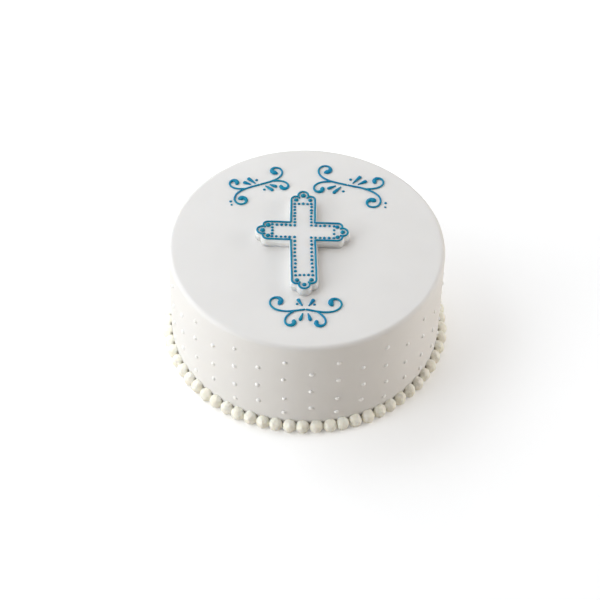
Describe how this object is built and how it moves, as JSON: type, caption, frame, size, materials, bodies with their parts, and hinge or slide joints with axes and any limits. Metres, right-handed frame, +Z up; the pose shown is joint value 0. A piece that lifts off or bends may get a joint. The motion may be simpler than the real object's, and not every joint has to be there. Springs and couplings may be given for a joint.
{
  "type": "communion cake",
  "caption": "Round cake under white fondant, dotted on its wall and ringed by piped cream pearls, with a raised cross outlined in blue and blue piped scrolls on its top.",
  "frame": {"origin": "middle of the cake's flat base, on the surface it stands on", "axes": "+Z up; -Y is the front, from which the cross stands upright; +X is to the right seen from the front"},
  "size_m": [0.2196, 0.2198, 0.0978],
  "materials": {
    "fondant": "satin white sugar fondant",
    "cream": "soft ivory buttercream, lightly crusted",
    "sugar_paste": "matt white sugar paste",
    "blue_icing": "glossy teal-blue piping icing"
  },
  "bodies": {
    "root": {"cake": "fondant", "pearl_border": "cream", "cross": "sugar_paste"}
  },
  "joints": []
}
